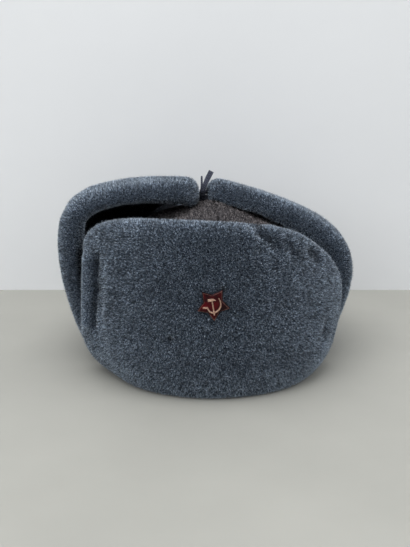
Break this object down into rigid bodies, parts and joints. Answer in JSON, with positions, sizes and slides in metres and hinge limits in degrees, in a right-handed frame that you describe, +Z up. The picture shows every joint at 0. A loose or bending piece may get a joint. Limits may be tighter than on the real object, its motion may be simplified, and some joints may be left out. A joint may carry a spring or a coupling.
{
  "type": "ushanka",
  "caption": "Winter cap with a padded cloth crown, a turned-up fur front flap with an enamelled star badge, and fur ear flaps folded up and tied over the top.",
  "frame": {"origin": "middle of the bottom of the bounding box, on the surface that the hat rests on", "axes": "+Z up, -Y out of the front flap towards the viewer of its badge, +X to that viewer's right"},
  "size_m": [0.2428, 0.258, 0.1507],
  "materials": {
    "crown_wool": "matt",
    "fur": "soft pile",
    "tape": "matt",
    "enamel": "gloss",
    "emblem_brass": "satin"
  },
  "bodies": {
    "root": {"crown": "crown_wool", "front_flap": "fur", "left_ear_flap": "fur", "right_ear_flap": "fur", "left_tie": "tape", "right_tie": "tape", "tie_knot": "tape", "badge_star": "enamel", "badge_emblem": "emblem_brass"}
  },
  "joints": []
}
